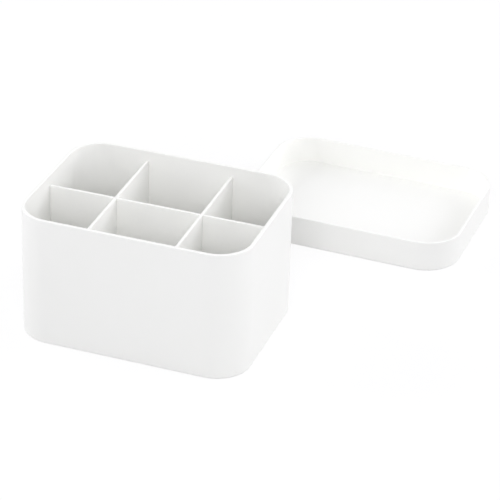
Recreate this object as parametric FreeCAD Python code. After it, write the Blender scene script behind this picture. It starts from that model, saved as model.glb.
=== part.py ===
"""White storage case, in millimetres: an open box, its lift-out divider grid, and its lid set down beside it.

The origin is the centre of the box's underside. X runs along the box, -Y is its front and Z is up.
"""

import FreeCAD
import Part
import os

from FreeCAD import Placement, Rotation, Vector

# Box shell
box_length = 160.0
box_depth = 120.0
box_height = 92.5
box_wall = 2.4
box_floor = 2.5
box_corner_radius = 24.0
floor_fillet = 2.5

# Divider grid: plates that stand on the box's floor and cross in half-lap slots
divider_thickness = 1.9
divider_drop = 7.3
cross_divider_spacing = 61.0
divider_end_gap = 0.1
divider_top_corner = 0.7
divider_foot_relief = 1.0
slot_side_clearance = 0.05
slot_end_clearance = 0.3

# Lid, lying upside down behind the box and turned a little, as a hand sets it down
lid_height = 22.6
lid_wall = 2.1
lid_panel = 2.5
lid_clearance = 0.5
lid_gap_behind_box = 68.7
lid_shift = 88.0
lid_turn = -1.3

# Rounding of the moulded edges, held to a share of the wall where the wall is too thin for it
rim_round = 0.6
foot_round = 1.2
divider_edge_round = 0.35
largest_round_share = 0.45

# Sizes that follow from those above
divider_height = box_height - box_floor - divider_drop
long_divider_length = box_length - 2 * (box_wall + divider_end_gap)
cross_divider_length = box_depth - 2 * (box_wall + divider_end_gap)
divider_foot_corner = floor_fillet + divider_foot_relief
half_lap = divider_height / 2
slot_width = divider_thickness + 2 * slot_side_clearance
lid_overhang = lid_wall + lid_clearance
lid_length = box_length + 2 * lid_overhang
lid_depth = box_depth + 2 * lid_overhang
lid_corner_radius = box_corner_radius + lid_overhang
lid_centre = Vector(lid_shift, box_depth / 2 + lid_gap_behind_box + lid_depth / 2, 0)

# Smallest length that counts when edges are sorted by direction and height
tolerance = 1e-6


def limited_round(radius, wall):
    """Give an edge's radius, held within its share of the wall that it rounds."""
    return min(radius, largest_round_share * wall)


def edges_across(shape, axes):
    """List the edges that have no length along any of the named axes."""
    return [edge for edge in shape.Edges
            if all(getattr(edge.BoundBox, axis + "Length") < tolerance for axis in axes)]


def edges_at(edges, height):
    """Keep the edges that lie level at one height."""
    return [edge for edge in edges
            if max(abs(edge.BoundBox.ZMin - height), abs(edge.BoundBox.ZMax - height)) < tolerance]


def round_block(length, depth, radius, bottom, top):
    """Make an upright block with round corners, centred on the Z axis, from one height to another."""
    block = Part.makeBox(length, depth, top - bottom, Vector(-length / 2, -depth / 2, bottom))
    return block.makeFillet(radius, edges_across(block, "XY"))


def moulded_tray(length, depth, height, radius, wall, floor, inner_fillet):
    """Make an open tray with round corners, a round rim, a round foot and a fillet round its floor."""
    outer = round_block(length, depth, radius, 0, height)
    outer = outer.makeFillet(limited_round(foot_round, floor), edges_at(outer.Edges, 0))
    hollow = round_block(length - 2 * wall, depth - 2 * wall, radius - wall, floor, height)
    hollow = hollow.makeFillet(inner_fillet, edges_at(hollow.Edges, floor))
    tray = outer.cut(hollow)
    return tray.makeFillet(limited_round(rim_round, wall), edges_at(tray.Edges, height))


def make_storage_box():
    """Make the box shell."""
    return moulded_tray(box_length, box_depth, box_height, box_corner_radius, box_wall, box_floor, floor_fillet)


def make_lid():
    """Make the lid where it lies, open side up. Its inner fillet is no larger than the rim that it seats on."""
    seat_fillet = limited_round(rim_round, lid_panel)
    tray = moulded_tray(lid_length, lid_depth, lid_height, lid_corner_radius, lid_wall, lid_panel, seat_fillet)
    tray.Placement = Placement(lid_centre, Rotation(Vector(0, 0, 1), lid_turn))
    return tray


def divider_plate(length):
    """Make an upright plate along X with round corners and edges, standing on the box's floor at the origin."""
    corner = Vector(-length / 2, -divider_thickness / 2, box_floor)
    plate = Part.makeBox(length, divider_thickness, divider_height, corner)
    plate = plate.makeFillet(divider_foot_corner, edges_at(edges_across(plate, "XZ"), box_floor))
    plate = plate.makeFillet(divider_top_corner, edges_at(edges_across(plate, "XZ"), box_floor + divider_height))
    edge_round = min(limited_round(divider_edge_round, divider_thickness), divider_top_corner / 2)
    return plate.makeFillet(edge_round, edges_across(plate, "Y"))


def cut_slot(plate, place, bottom, top):
    """Cut an upright slot through a plate along X, between two heights above the box's floor."""
    corner = Vector(place - slot_width / 2, -divider_thickness, box_floor + bottom)
    return plate.cut(Part.makeBox(slot_width, 2 * divider_thickness, top - bottom, corner))


def make_long_divider():
    """Make the plate along the box, with a slot open at the top for each cross divider."""
    plate = divider_plate(long_divider_length)
    for side in (-1, 1):
        place = side * cross_divider_spacing / 2
        plate = cut_slot(plate, place, half_lap - slot_end_clearance, divider_height + divider_drop)
    return plate


def make_cross_divider(side):
    """Make the plate across the box on one side, with a slot open at the bottom for the long divider."""
    plate = cut_slot(divider_plate(cross_divider_length), 0, -box_floor, half_lap + slot_end_clearance)
    place = Vector(side * cross_divider_spacing / 2, 0, 0)
    plate.Placement = Placement(place, Rotation(Vector(0, 0, 1), 90))
    return plate


pieces = {
    "storage_box": make_storage_box(),
    "long_divider": make_long_divider(),
    "cross_divider_left": make_cross_divider(-1),
    "cross_divider_right": make_cross_divider(1),
    "lid": make_lid(),
}

os.makedirs("parts", exist_ok=True)
for name, shape in pieces.items():
    box = shape.optimalBoundingBox()
    print(name, "valid", shape.isValid(), "solids", len(shape.Solids), "volume", round(shape.Volume, 1))
    print("  from", [round(v, 2) for v in (box.XMin, box.YMin, box.ZMin)],
          "to", [round(v, 2) for v in (box.XMax, box.YMax, box.ZMax)])
    shape.exportStep(os.path.join("parts", name + ".step"))
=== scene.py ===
"""Looks of a white storage case: an open box, its lift-out divider grid and its lid, built round the frame.

Everything is in metres in the frame's own axes: X along the box, -Y its front, Z up, origin under the box.
"""

from __future__ import annotations

import logging
from dataclasses import dataclass, field
from enum import Enum
from math import cos, pi, radians, sin

import bpy
import numpy as np
from mathutils import Matrix, Vector


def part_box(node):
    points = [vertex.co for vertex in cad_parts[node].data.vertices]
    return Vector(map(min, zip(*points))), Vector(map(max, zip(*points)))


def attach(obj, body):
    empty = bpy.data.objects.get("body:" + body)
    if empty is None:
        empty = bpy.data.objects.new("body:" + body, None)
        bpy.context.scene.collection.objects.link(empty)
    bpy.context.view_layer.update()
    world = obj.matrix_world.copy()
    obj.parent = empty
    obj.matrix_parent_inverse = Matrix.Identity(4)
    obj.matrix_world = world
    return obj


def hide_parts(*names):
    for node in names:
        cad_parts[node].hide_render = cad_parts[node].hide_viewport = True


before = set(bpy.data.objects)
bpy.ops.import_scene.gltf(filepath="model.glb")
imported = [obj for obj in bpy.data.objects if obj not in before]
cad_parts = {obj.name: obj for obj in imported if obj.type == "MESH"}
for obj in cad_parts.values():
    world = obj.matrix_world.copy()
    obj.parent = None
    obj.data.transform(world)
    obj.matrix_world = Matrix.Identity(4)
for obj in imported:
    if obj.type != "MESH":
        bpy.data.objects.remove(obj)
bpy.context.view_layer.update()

MM = 0.001
WHITE = (1.0, 1.0, 1.0, 1.0)
COOL_WHITE = (0.972, 0.972, 1.0)
ARC_END_SHARE = 0.4

log = logging.getLogger("storage_case")


class Slot(Enum):
    """Material slots of the record."""

    BOX = "box_plastic"
    DIVIDER = "divider_plastic"
    LID = "lid_plastic"


class Run(Enum):
    """Which way a divider plate runs in the box."""

    ALONG = "x"
    ACROSS = "y"


class SlotMouth(Enum):
    """Which edge of a plate its half-lap slots open at."""

    TOP = "top"
    BOTTOM = "bottom"


class Sock:
    """A shader socket with arithmetic: an expression on it adds Math nodes to its tree."""

    def __init__(self, kit: NodeKit, socket: bpy.types.NodeSocket) -> None:
        self.kit = kit
        self.socket = socket

    def math(self, operation: str, first: Sock | float, second: Sock | float) -> Sock:
        """Add one Math node.

        Args:
            operation: The Math node's operation.
            first: Its first value.
            second: Its second value.

        Returns:
            The node's result.
        """
        return self.kit.node("ShaderNodeMath", {"operation": operation}, {0: first, 1: second})

    def __add__(self, other: Sock | float) -> Sock:
        """Give self + other."""
        return self.math("ADD", self, other)

    def __radd__(self, other: float) -> Sock:
        """Give other + self."""
        return self.math("ADD", other, self)

    def __mul__(self, other: Sock | float) -> Sock:
        """Give self * other."""
        return self.math("MULTIPLY", self, other)

    def __rmul__(self, other: float) -> Sock:
        """Give other * self."""
        return self.math("MULTIPLY", other, self)

    def at_most(self, limit: float) -> Sock:
        """Give the smaller of self and a limit."""
        return self.math("MINIMUM", self, limit)


class NodeKit:
    """A node tree that is written as expressions."""

    def __init__(self, tree: bpy.types.NodeTree) -> None:
        """Start with an empty tree."""
        self.tree = tree
        tree.nodes.clear()

    def node(self, kind: str, settings: dict | None = None, inputs: dict | None = None,
             out: int | str = 0) -> Sock | None:
        """Add a node.

        Args:
            kind: The node's type.
            settings: Its properties, set first. The key stops holds a ramp's positions and grey levels.
            inputs: Values or sockets for its inputs, by name or number.
            out: The output wanted, by name or number.

        Returns:
            That output, or None where the node has no outputs.
        """
        made = self.tree.nodes.new(kind)
        for key, value in (settings or {}).items():
            if key == "stops":
                self.set_stops(made.color_ramp, value)
            else:
                setattr(made, key, value)
        for key, value in (inputs or {}).items():
            socket = self.pick(made.inputs, key)
            if isinstance(value, Sock):
                self.tree.links.new(value.socket, socket)
            else:
                socket.default_value = value
        return Sock(self, self.pick(made.outputs, out)) if len(made.outputs) else None

    @staticmethod
    def pick(sockets: bpy.types.bpy_prop_collection, key: int | str) -> bpy.types.NodeSocket:
        """Find a socket by its number, or by its name among those in use."""
        if isinstance(key, int):
            return sockets[key]
        return next(socket for socket in sockets if socket.name == key and socket.enabled)

    @staticmethod
    def set_stops(ramp: bpy.types.ColorRamp, stops: list[tuple[float, float]]) -> None:
        """Set a ramp's two stops to grey levels at their positions."""
        for element, (position, level) in zip(ramp.elements, stops):
            element.position = position
            element.color = (level, level, level, 1.0)

    def noise(self, place: Sock, feature: float, detail: float, roughness: float = 0.5) -> Sock:
        """Give a noise of about one bump per feature length, in metres, with values near 0.5."""
        inputs = {"Vector": place, "Scale": 1.0 / feature, "Detail": detail, "Roughness": roughness}
        return self.node("ShaderNodeTexNoise", {"noise_dimensions": "3D"}, inputs)

    def ramp(self, value: Sock, span: tuple[float, float]) -> Sock:
        """Stretch the values within a span to the range from 0 to 1, and cut off the rest."""
        return self.node("ShaderNodeValToRGB", {"stops": [(span[0], 0.0), (span[1], 1.0)]}, {"Fac": value})

    def mix(self, factor: Sock, first: Sock | tuple, second: Sock | tuple) -> Sock:
        """Mix two colours."""
        inputs = {"Factor": factor, "A": first, "B": second}
        return self.node("ShaderNodeMix", {"data_type": "RGBA"}, inputs, "Result")

    def seen(self) -> Sock:
        """Give 1 on rays that show the background: from the camera, in gloss and through glass."""
        paths = [self.node("ShaderNodeLightPath", out=name)
                 for name in ("Is Camera Ray", "Is Glossy Ray", "Is Transmission Ray")]
        return (paths[0] + paths[1] + paths[2]).at_most(1.0)


@dataclass(frozen=True)
class SatinPlastic:
    """White moulded plastic: a satin tool finish, faint handling marks, and edges and nooks that show use."""

    name: str
    colour: tuple[float, float, float] = (0.955, 0.955, 0.928)
    aged_colour: tuple[float, float, float] = (0.94, 0.94, 0.908)
    worn_colour: tuple[float, float, float] = (0.9, 0.9, 0.88)
    roughness: float = 0.36
    refraction: float = 1.5
    cloud_size: float = 45 * MM
    cloud_span: tuple[float, float] = (0.35, 0.7)
    cloud_tint: float = 0.45
    scuff_size: float = 2.2 * MM
    scuff_span: tuple[float, float] = (0.48, 0.68)
    scuff_tint: float = 0.5
    scuff_roughness: float = 0.16
    smudge_size: float = 16 * MM
    smudge_span: tuple[float, float] = (0.4, 0.7)
    smudge_roughness: float = 0.07
    dust_span: tuple[float, float] = (0.3, 0.75)
    dust_tint: float = 0.5
    dust_roughness: float = 0.12
    hairline_turns: tuple[float, float] = (0.35, -0.8)
    hairline_scale: tuple[float, float, float] = (1600.0, 22.0, 22.0)
    hairline_span: tuple[float, float] = (0.66, 0.76)
    hairline_roughness: float = 0.06
    grain_size: float = 0.45 * MM
    grain_depth: float = 0.006 * MM
    grain_share: float = 0.65
    peel_size: float = 5 * MM
    peel_share: float = 1.6

    def material(self) -> bpy.types.Material:
        """Build the material.

        Slow clouds and dust in the nooks shift the colour towards the aged one, scuffs on the edges towards
        the worn one. Smudges, hairlines, scuffs and dust change the roughness. Fine grain over a slow peel
        makes the bump.

        Returns:
            The material.
        """
        made = bpy.data.materials.new(self.name)
        made.use_nodes = True
        kit = NodeKit(made.node_tree)
        place = kit.node("ShaderNodeTexCoord", out="Object")
        edge = kit.node("ShaderNodeAttribute", {"attribute_name": "edge"}, out="Fac")
        nook = kit.node("ShaderNodeAttribute", {"attribute_name": "nook"}, out="Fac")
        cloud = kit.ramp(kit.noise(place, self.cloud_size, detail=3.0), self.cloud_span)
        specks = kit.noise(place, self.scuff_size, detail=4.0, roughness=0.65)
        scuff = edge * kit.ramp(specks, self.scuff_span)
        smudge = kit.ramp(kit.noise(place, self.smudge_size, detail=5.0, roughness=0.6), self.smudge_span)
        motes = kit.noise(place, self.scuff_size, detail=5.0, roughness=0.7)
        dust = nook * kit.ramp(motes, self.dust_span)
        hairlines = self.hairlines(kit, place)
        ageing = cloud * self.cloud_tint + dust * self.dust_tint
        aged = kit.mix(ageing, (*self.colour, 1.0), (*self.aged_colour, 1.0))
        tone = kit.mix(scuff * self.scuff_tint, aged, (*self.worn_colour, 1.0))
        handled = self.roughness + self.smudge_roughness * smudge + self.scuff_roughness * scuff
        rough = handled + self.dust_roughness * dust + self.hairline_roughness * hairlines
        grain = self.grain_share * kit.noise(place, self.grain_size, detail=2.0)
        height = grain + self.peel_share * kit.noise(place, self.peel_size, detail=1.0)
        relief = {"Height": height, "Distance": self.grain_depth, "Strength": 1.0}
        bump = kit.node("ShaderNodeBump", None, relief)
        surface = {"Base Color": tone, "Roughness": rough, "Normal": bump, "IOR": self.refraction}
        shader = kit.node("ShaderNodeBsdfPrincipled", None, surface)
        kit.node("ShaderNodeOutputMaterial", None, {"Surface": shader})
        return made

    def hairlines(self, kit: NodeKit, place: Sock) -> Sock:
        """Give fine scratches in two directions: noise drawn out along two axes, with only its peaks kept."""
        lines = []
        for turn in self.hairline_turns:
            stretch = {"Vector": place, "Rotation": (turn, turn, turn), "Scale": self.hairline_scale}
            drawn = kit.node("ShaderNodeMapping", {"vector_type": "POINT"}, stretch)
            noise = kit.node("ShaderNodeTexNoise", None, {"Vector": drawn, "Scale": 1.0, "Detail": 1.0})
            lines.append(kit.ramp(noise, self.hairline_span))
        return (lines[0] + lines[1]).at_most(1.0)


@dataclass(frozen=True)
class PaleStage:
    """The pale surface under the object, which shows as white and still takes the object's shadow."""

    name: str = "pale_stage"
    colour: tuple[float, float, float] = (0.62, 0.62, 0.62)
    seen_colour: tuple[float, float, float] = (0.98, 0.98, 0.98)
    whiteness: float = 0.8
    roughness: float = 0.5

    def material(self) -> bpy.types.Material:
        """Build the material: a matt surface that is lighter, and in part plain white, where it is seen.

        Returns:
            The material.
        """
        made = bpy.data.materials.new(self.name)
        made.use_nodes = True
        kit = NodeKit(made.node_tree)
        seen = kit.seen()
        colour = kit.mix(seen, (*self.colour, 1.0), (*self.seen_colour, 1.0))
        matt = kit.node("ShaderNodeBsdfDiffuse", None, {"Color": colour, "Roughness": self.roughness})
        white = kit.node("ShaderNodeEmission", None, {"Color": WHITE, "Strength": 1.0})
        surface = kit.node("ShaderNodeMixShader", None, {0: seen * self.whiteness, 1: matt, 2: white})
        kit.node("ShaderNodeOutputMaterial", None, {"Surface": surface})
        return made


@dataclass(frozen=True)
class RoundedOutline:
    """A closed plane outline, anticlockwise: straight sides joined by tangent arcs."""

    corners: np.ndarray
    radii: np.ndarray
    arc_steps: int
    side_steps: int

    def sample(self) -> tuple[np.ndarray, np.ndarray]:
        """Work out points round the outline and their outward normals.

        At a corner that turns by t, an arc of radius r touches both sides at r * tan(t / 2) from the corner.
        The normal turns evenly from one side's to the next, and the point is the arc's centre plus r times
        the normal, or minus r times at an inside corner. Between arcs, the sides are even steps.

        Returns:
            The points and the normals, each an array of two columns.
        """
        ahead = np.roll(self.corners, -1, 0) - self.corners
        ahead = ahead / np.linalg.norm(ahead, axis=1, keepdims=True)
        behind = np.roll(ahead, 1, 0)
        turn = np.arctan2(behind[:, 0] * ahead[:, 1] - behind[:, 1] * ahead[:, 0], (behind * ahead).sum(1))
        side_in = np.column_stack([behind[:, 1], -behind[:, 0]])
        swing = np.sign(turn)[:, None] * self.radii[:, None]
        reach = (self.radii * np.tan(np.abs(turn) / 2))[:, None]
        centre = self.corners - behind * reach - swing * side_in
        share = np.linspace(0, 1, self.arc_steps + 1)
        angle = np.arctan2(side_in[:, 1], side_in[:, 0])[:, None] + turn[:, None] * share
        arc_normals = np.stack([np.cos(angle), np.sin(angle)], -1)
        arcs = centre[:, None] + swing[:, None] * arc_normals
        share = np.linspace(0, 1, self.side_steps + 1)[1:-1, None]
        start = arcs[:, -1:]
        sides = start + share * (np.roll(arcs[:, :1], -1, 0) - start)
        side_normals = np.broadcast_to(arc_normals[:, -1:], sides.shape)
        points = np.concatenate([arcs, sides], 1).reshape(-1, 2)
        normals = np.concatenate([arc_normals, side_normals], 1).reshape(-1, 2)
        return points, normals

    @classmethod
    def rectangle(cls, length: float, depth: float, radius: float, **steps: int) -> RoundedOutline:
        """Make a rectangle with round corners, centred on the origin."""
        signs = np.array([(-1, -1), (1, -1), (1, 1), (-1, 1)])
        return cls(signs * (length / 2, depth / 2), np.full(4, radius), **steps)


@dataclass
class Profile:
    """A section carried along an outline: how far out of it, how high, which way it faces, and its marks."""

    out: list[np.ndarray] = field(default_factory=list)
    up: list[np.ndarray] = field(default_factory=list)
    facing: list[np.ndarray] = field(default_factory=list)
    edge: list[np.ndarray] = field(default_factory=list)
    nook: list[np.ndarray] = field(default_factory=list)

    def arc(self, centre: tuple[float, float], radius: float, start: float, end: float, steps: int,
            edge: float = 0.0, nook: float = 0.0) -> Profile:
        """Add an arc.

        A radius below zero marks a hollow arc, whose surface faces its centre. The marks are strongest in the
        middle of the arc and fall along a sine to a share of that at its ends.

        Args:
            centre: The arc's centre, out and up.
            radius: Its radius.
            start: The angle of its first facing direction, from the outward direction, in degrees.
            end: The angle of its last.
            steps: How many steps it has.
            edge: How much its middle wears.
            nook: How much dust its middle holds.

        Returns:
            The profile itself.
        """
        angle = np.radians(np.linspace(start, end, steps + 1))
        swell = ARC_END_SHARE + (1.0 - ARC_END_SHARE) * np.sin(np.linspace(0, pi, steps + 1))
        self.out.append(centre[0] + radius * np.cos(angle))
        self.up.append(centre[1] + radius * np.sin(angle))
        self.facing.append(angle)
        self.edge.append(edge * swell)
        self.nook.append(nook * swell)
        return self

    def wall(self, out: float, bottom: float, top: float, facing: float, steps: int) -> Profile:
        """Add an upright stretch between two arcs, without the arcs' own ends."""
        share = np.linspace(0, 1, steps + 1)[1:-1]
        self.out.append(np.full(share.shape, out))
        self.up.append(bottom + share * (top - bottom))
        self.facing.append(np.full(share.shape, radians(facing)))
        self.edge.append(np.zeros(share.shape))
        self.nook.append(np.zeros(share.shape))
        return self

    def level(self, out: float, up: float, facing: float) -> Profile:
        """Add one point on a level stretch."""
        for values, value in ((self.out, out), (self.up, up), (self.facing, radians(facing))):
            values.append(np.array([value]))
        self.edge.append(np.zeros(1))
        self.nook.append(np.zeros(1))
        return self


@dataclass(frozen=True)
class Seat:
    """Where an outline's plane lies: its origin and its two axes. The third axis is square to both."""

    origin: tuple[float, float, float]
    first: tuple[float, float, float]
    second: tuple[float, float, float]

    def axes(self) -> np.ndarray:
        """Give the three axes as rows."""
        return np.array([self.first, self.second, np.cross(self.first, self.second)])


@dataclass
class SweptPiece:
    """A closed piece: a profile carried along an outline, with a flat face over each end."""

    name: str
    outline: RoundedOutline
    profile: Profile
    seat: Seat
    side_sharpness: float = 0.0

    def build(self, finish: bpy.types.Material) -> bpy.types.Object:
        """Make the mesh object.

        Ring k is the outline moved out by the profile's k-th distance and up by its k-th height. A point's
        normal is the outline's normal and the third axis, mixed by the cosine and sine of the facing angle.
        Side sharpness draws the profile in where the outline doesn't face up its second axis.

        Args:
            finish: The piece's material.

        Returns:
            The object.
        """
        points, normals = self.outline.sample()
        out, up, facing, edge, nook = (np.concatenate(part) for part in self.columns())
        around, rings = len(points), len(out)
        ease = 1.0 - self.side_sharpness * (1.0 - np.clip(normals[:, 1:], 0.0, 1.0))
        flat = points[None] + out[:, None, None] * (ease * normals)[None]
        rise = np.broadcast_to(up[:, None, None], (rings, around, 1))
        axes = self.seat.axes()
        places = np.concatenate([flat, rise], 2) @ axes + np.array(self.seat.origin)
        sideways = np.cos(facing)[:, None, None] * normals[None]
        upward = np.broadcast_to(np.sin(facing)[:, None, None], (rings, around, 1))
        faces_out = np.concatenate([sideways, upward], 2) @ axes
        mesh = bpy.data.meshes.new(self.name)
        mesh.from_pydata(places.reshape(-1, 3).tolist(), [], self.faces(rings, around))
        mesh.polygons.foreach_set("use_smooth", np.ones(len(mesh.polygons), bool))
        for label, values in (("edge", edge), ("nook", nook)):
            layer = mesh.attributes.new(label, "FLOAT", "POINT")
            layer.data.foreach_set("value", np.repeat(values, around).astype(np.float32))
        mesh.materials.append(finish)
        mesh.normals_split_custom_set_from_vertices(faces_out.reshape(-1, 3).tolist())
        made = bpy.data.objects.new(self.name, mesh)
        bpy.context.scene.collection.objects.link(made)
        return made

    def columns(self) -> tuple[list[np.ndarray], ...]:
        """Give the profile's five columns."""
        section = self.profile
        return section.out, section.up, section.facing, section.edge, section.nook

    @staticmethod
    def faces(rings: int, around: int) -> list[list[int]]:
        """List the faces: four-sided ones between each ring and the next, and one over each end."""
        grid = np.arange(rings * around).reshape(rings, around)
        beside = np.roll(grid, -1, 1)
        quads = np.stack([grid[:-1], beside[:-1], beside[1:], grid[1:]], -1).reshape(-1, 4)
        return [*quads.tolist(), grid[0, ::-1].tolist(), grid[-1].tolist()]


@dataclass
class MouldedTray:
    """An open tray with round corners: a flat floor, straight walls, a round rim and a round foot."""

    node: str
    body: str
    slot: Slot
    length: float
    depth: float
    height: float
    corner_radius: float
    wall: float
    floor: float
    floor_fillet: float
    centre: Vector
    turn: float = 0.0
    rim_round: float = 0.6 * MM
    foot_round: float = 1.2 * MM
    foot_wear: float = 0.6
    arc_steps: int = 28
    side_steps: int = 20
    wall_steps: int = 14
    foot_steps: int = 8
    rim_steps: int = 6
    fillet_steps: int = 8

    def profile(self) -> Profile:
        """Work out the section from the underside, up the outer wall, over the rim and down to the floor."""
        rim, foot, fillet = self.rim_round, self.foot_round, self.floor_fillet
        inner, top = -self.wall, self.height - self.rim_round
        section = Profile().level(-2 * foot, 0.0, -90)
        section.arc((-foot, foot), foot, -90, 0, self.foot_steps, edge=self.foot_wear)
        section.wall(0.0, foot, top, 0, self.wall_steps)
        section.arc((-rim, top), rim, 0, 90, self.rim_steps, edge=1.0)
        section.arc((inner + rim, top), rim, 90, 180, self.rim_steps, edge=1.0)
        section.wall(inner, top, self.floor + fillet, 180, self.wall_steps)
        section.arc((inner - fillet, self.floor + fillet), -fillet, 180, 90, self.fillet_steps, nook=1.0)
        return section.level(inner - 2 * fillet, self.floor, 90)

    def build(self, finish: bpy.types.Material) -> bpy.types.Object:
        """Build the tray in place of its CAD node.

        Args:
            finish: The tray's material.

        Returns:
            The object.
        """
        outline = RoundedOutline.rectangle(self.length, self.depth, self.corner_radius,
                                           arc_steps=self.arc_steps, side_steps=self.side_steps)
        along = (cos(self.turn), sin(self.turn), 0.0)
        across = (-sin(self.turn), cos(self.turn), 0.0)
        seat = Seat(tuple(self.centre), along, across)
        made = SweptPiece(self.node + "_moulding", outline, self.profile(), seat).build(finish)
        return dress(made, self.node, self.body)


@dataclass
class DividerPlate:
    """A thin upright plate with round edges and half-lap slots, standing on the box's floor."""

    node: str
    body: str
    run: Run
    mouth: SlotMouth
    slot_places: tuple[float, ...]
    slot: Slot = Slot.DIVIDER
    slot_width: float = 2.0 * MM
    slot_end_clearance: float = 0.3 * MM
    foot_corner: float = 3.5 * MM
    top_corner: float = 0.7 * MM
    mouth_corner: float = 0.4 * MM
    slot_corner: float = 0.4 * MM
    edge_round: float = 0.35 * MM
    side_sharpness: float = 0.85
    arc_steps: int = 8
    side_steps: int = 10
    edge_steps: int = 6

    def slot_outline(self, place: float, height: float) -> tuple[list, list]:
        """Work out one slot's corners and radii, in the order that the outline passes them.

        Args:
            place: The middle of the slot along the plate.
            height: The plate's height.

        Returns:
            The four corners and their radii.
        """
        top = self.mouth is SlotMouth.TOP
        mouth = height if top else 0.0
        end = height / 2 + (-1 if top else 1) * self.slot_end_clearance
        half = self.slot_width / 2 * (1 if top else -1)
        corners = [(place + half, mouth), (place + half, end), (place - half, end), (place - half, mouth)]
        return corners, [self.mouth_corner, self.slot_corner, self.slot_corner, self.mouth_corner]

    def outline(self, length: float, height: float) -> RoundedOutline:
        """Work out the plate's outline, anticlockwise from its first foot.

        Args:
            length: The plate's length.
            height: Its height.

        Returns:
            The outline, along the plate and up.
        """
        half = length / 2
        feet = [(-half, 0.0), (half, 0.0)]
        shoulders = [(half, height), (-half, height)]
        order = sorted(self.slot_places, reverse=self.mouth is SlotMouth.TOP)
        slots = [self.slot_outline(place, height) for place in order]
        slot_corners = [corner for corners, _ in slots for corner in corners]
        slot_radii = [radius for _, radii in slots for radius in radii]
        foot_radii, shoulder_radii = [self.foot_corner] * 2, [self.top_corner] * 2
        if self.mouth is SlotMouth.TOP:
            corners = [*feet, shoulders[0], *slot_corners, shoulders[1]]
            radii = [*foot_radii, shoulder_radii[0], *slot_radii, shoulder_radii[1]]
        else:
            corners = [feet[0], *slot_corners, feet[1], *shoulders]
            radii = [foot_radii[0], *slot_radii, foot_radii[1], *shoulder_radii]
        return RoundedOutline(np.array(corners), np.array(radii), self.arc_steps, self.side_steps)

    def profile(self, thickness: float) -> Profile:
        """Work out the section over the plate's edge, from one face to the other."""
        half, edge = thickness / 2, self.edge_round
        section = Profile().arc((-edge, edge - half), edge, -90, 0, self.edge_steps, edge=1.0)
        return section.arc((-edge, half - edge), edge, 0, 90, self.edge_steps, edge=1.0)

    def build(self, finish: bpy.types.Material) -> bpy.types.Object:
        """Build the plate in place of its CAD node.

        Args:
            finish: The plate's material.

        Returns:
            The object.
        """
        low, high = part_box(self.node)
        size, middle = high - low, (low + high) / 2
        along = self.run is Run.ALONG
        length, thickness = (size.x, size.y) if along else (size.y, size.x)
        first = (1.0, 0.0, 0.0) if along else (0.0, 1.0, 0.0)
        seat = Seat((middle.x, middle.y, low.z), first, (0.0, 0.0, 1.0))
        piece = SweptPiece(self.node + "_plate", self.outline(length, size.z), self.profile(thickness), seat,
                           self.side_sharpness)
        return dress(piece.build(finish), self.node, self.body)


def dress(piece: bpy.types.Object, node: str, body: str) -> bpy.types.Object:
    """Set a piece in its CAD node's place.

    Args:
        piece: The piece.
        node: The CAD node that it stands for.
        body: The body that it moves with.

    Returns:
        The piece.
    """
    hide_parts(node)
    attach(piece, body)
    log.info("%s stands for %s on %s, %d faces", piece.name, node, body, len(piece.data.polygons))
    return piece


@dataclass
class StorageCase:
    """The whole case: its box, divider grid and lid, with sizes taken from the frame where it holds them."""

    box_corner_radius: float = 24 * MM
    box_wall: float = 2.4 * MM
    box_floor: float = 2.5 * MM
    box_floor_fillet: float = 2.5 * MM
    lid_overhang: float = 2.6 * MM
    lid_wall: float = 2.1 * MM
    lid_panel: float = 2.5 * MM
    lid_seat_fillet: float = 0.6 * MM
    lid_turn: float = radians(-1.3)
    divider_roughness: float = 0.4

    def trays(self) -> list[MouldedTray]:
        """Size the box and the lid, which is the box's plan let out by the overhang."""
        low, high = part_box("storage_box")
        size, middle = high - low, (low + high) / 2
        lid_low, lid_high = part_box("lid")
        lid_middle = (lid_low + lid_high) / 2
        spread = self.lid_overhang
        box = MouldedTray("storage_box", "box", Slot.BOX, size.x, size.y, size.z,
                          corner_radius=self.box_corner_radius, wall=self.box_wall, floor=self.box_floor,
                          floor_fillet=self.box_floor_fillet, centre=Vector((middle.x, middle.y, low.z)))
        lid = MouldedTray("lid", "cap", Slot.LID, size.x + 2 * spread, size.y + 2 * spread,
                          lid_high.z - lid_low.z, corner_radius=self.box_corner_radius + spread,
                          wall=self.lid_wall, floor=self.lid_panel,
                          floor_fillet=self.lid_seat_fillet, turn=self.lid_turn,
                          centre=Vector((lid_middle.x, lid_middle.y, lid_low.z)))
        return [box, lid]

    def plates(self) -> list[DividerPlate]:
        """Describe the three divider plates, whose slots lie where the plates cross."""
        crossing = [sum(corner.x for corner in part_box(node)) / 2
                    for node in ("cross_divider_left", "cross_divider_right")]
        return [DividerPlate("long_divider", "long_plate", Run.ALONG, SlotMouth.TOP, tuple(crossing)),
                DividerPlate("cross_divider_left", "left_plate", Run.ACROSS, SlotMouth.BOTTOM, (0.0,)),
                DividerPlate("cross_divider_right", "right_plate", Run.ACROSS, SlotMouth.BOTTOM, (0.0,))]

    def build(self) -> list[bpy.types.Object]:
        """Build every piece in its finish.

        Returns:
            The pieces.
        """
        finishes = {
            Slot.BOX: SatinPlastic("box_satin_white").material(),
            Slot.DIVIDER: SatinPlastic("divider_satin_white", roughness=self.divider_roughness).material(),
            Slot.LID: SatinPlastic("lid_satin_white").material(),
        }
        return [part.build(finishes[part.slot]) for part in [*self.trays(), *self.plates()]]


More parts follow.
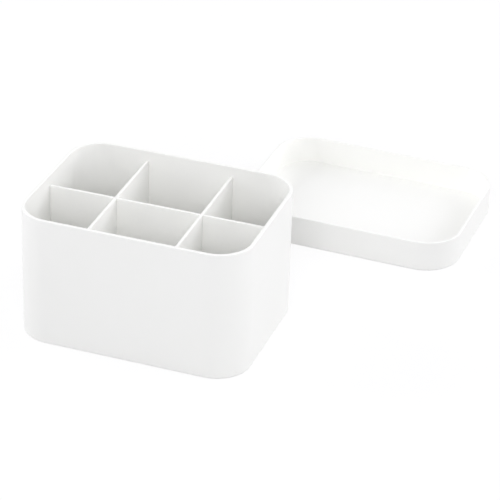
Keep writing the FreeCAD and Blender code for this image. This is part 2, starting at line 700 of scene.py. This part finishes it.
@dataclass(frozen=True)
class Softbox:
    """A square studio lamp, aimed at the object."""

    name: str
    place: tuple[float, float, float]
    size: float
    watts: float

    def build(self, aim: Vector) -> bpy.types.Object:
        """Make the lamp and turn it to a point.

        Args:
            aim: The point.

        Returns:
            The lamp.
        """
        lamp = bpy.data.lights.new(self.name, "AREA")
        lamp.shape = "SQUARE"
        lamp.size = self.size
        lamp.energy = self.watts
        lamp.color = COOL_WHITE
        made = bpy.data.objects.new(self.name, lamp)
        made.location = self.place
        made.rotation_euler = (aim - Vector(self.place)).to_track_quat("-Z", "Y").to_euler()
        bpy.context.scene.collection.objects.link(made)
        return made


@dataclass
class Studio:
    """The pale floor, the even white room and the softboxes."""

    floor_half: float = 6.0
    floor_drop: float = 0.05 * MM
    room_level: float = 0.535
    aim: Vector = field(default_factory=lambda: Vector((0.05, 0.08, 0.04)))
    lamps: tuple[Softbox, ...] = (
        Softbox("left_softbox", (-1.8, 0.0, 0.9), 1.2, 16.0),
        Softbox("right_softbox", (1.9, 0.45, 0.9), 1.2, 6.1),
        Softbox("rear_right_softbox", (1.5, 1.4, 0.85), 1.2, 13.9),
        Softbox("high_right_softbox", (1.5, 0.3, 1.7), 1.2, 4.4),
        Softbox("front_softbox", (0.5, -1.7, 1.35), 1.0, 12.2),
        Softbox("low_front_softbox", (0.1, -1.25, 0.5), 0.7, 2.2),
    )

    def build(self) -> None:
        """Build the floor, the room's light and the lamps."""
        half = self.floor_half
        mesh = bpy.data.meshes.new("floor")
        corners = np.array([(-half, -half), (half, -half), (half, half), (-half, half)])
        places = np.column_stack([corners, np.full(4, -self.floor_drop)])
        mesh.from_pydata(places.tolist(), [], [(0, 1, 2, 3)])
        mesh.materials.append(PaleStage().material())
        floor = bpy.data.objects.new("floor", mesh)
        bpy.context.scene.collection.objects.link(floor)
        self.light_room()
        for lamp in self.lamps:
            lamp.build(self.aim)

    def light_room(self) -> None:
        """Light the room evenly, and show it as plain white where it is seen."""
        world = bpy.data.worlds.new("white_room")
        world.use_nodes = True
        bpy.context.scene.world = world
        kit = NodeKit(world.node_tree)
        seen = kit.seen()
        colour = kit.mix(seen, (*COOL_WHITE, 1.0), WHITE)
        level = self.room_level + seen * (1.0 - self.room_level)
        light = kit.node("ShaderNodeBackground", None, {"Color": colour, "Strength": level})
        kit.node("ShaderNodeOutputWorld", None, {"Surface": light})


@dataclass(frozen=True)
class PhotoCamera:
    """The photograph's viewpoint: the point in the middle of the view, the way to the camera, and its lens.

    Azimuth turns the camera from the front towards the right, and roll turns it about the way that it looks.
    """

    target: tuple[float, float, float] = (0.05303, 0.03451, 0.04521)
    azimuth: float = radians(18.69)
    elevation: float = radians(29.62)
    roll: float = radians(1.855)
    distance: float = 1.5788
    lens_mm: float = 168.79
    sensor_mm: float = 36.0

    def build(self) -> bpy.types.Object:
        """Make the camera and set it as the scene's.

        Returns:
            The camera.
        """
        level = cos(self.elevation)
        back = Vector((sin(self.azimuth) * level, -cos(self.azimuth) * level, sin(self.elevation)))
        flat_right = Vector((cos(self.azimuth), sin(self.azimuth), 0.0))
        flat_up = back.cross(flat_right)
        right = cos(self.roll) * flat_right + sin(self.roll) * flat_up
        up = back.cross(right)
        lens = bpy.data.cameras.new("photo_camera")
        lens.lens = self.lens_mm
        lens.sensor_width = self.sensor_mm
        made = bpy.data.objects.new("photo_camera", lens)
        turn = Matrix((right, up, back)).transposed().to_4x4()
        made.matrix_world = Matrix.Translation(Vector(self.target) + self.distance * back) @ turn
        bpy.context.scene.collection.objects.link(made)
        bpy.context.scene.camera = made
        return made


def main() -> None:
    """Build the case, the studio and the camera."""
    logging.basicConfig(level=logging.INFO, format="%(name)s: %(message)s")
    pieces = StorageCase().build()
    Studio().build()
    PhotoCamera().build()
    bpy.context.scene.view_settings.view_transform = "Standard"
    bpy.context.view_layer.update()
    log.info("%d pieces built", len(pieces))


if __name__ == "__main__":
    main()
